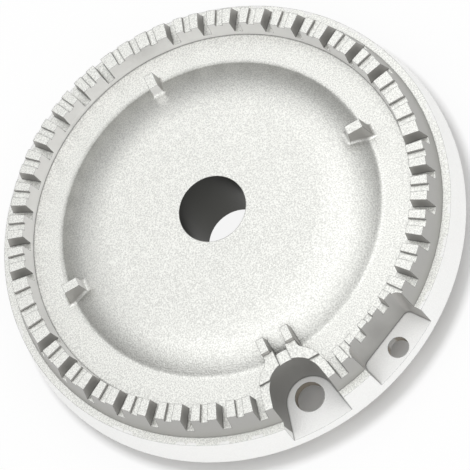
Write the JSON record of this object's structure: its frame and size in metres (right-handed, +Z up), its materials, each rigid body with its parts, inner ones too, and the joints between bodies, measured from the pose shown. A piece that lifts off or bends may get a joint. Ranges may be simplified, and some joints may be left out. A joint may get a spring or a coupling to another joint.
{
  "type": "gas burner head",
  "caption": "Round cast gas burner head with a domed crown, a slotted port ring, a mixing tube and seats for a spark electrode and a flame sensor.",
  "frame": {"origin": "on the axis of the mixing tube, at the tube's lower end, which the head stands on", "axes": "+Z up along the mixing tube towards the tooth tops; -Y points to the electrode notch"},
  "size_m": [0.1068, 0.1068, 0.0214],
  "materials": {
    "cast_aluminium": "shot-blasted casting, matt with a fine sandy grain"
  },
  "bodies": {
    "root": {"burner_head": "cast_aluminium"}
  },
  "joints": []
}
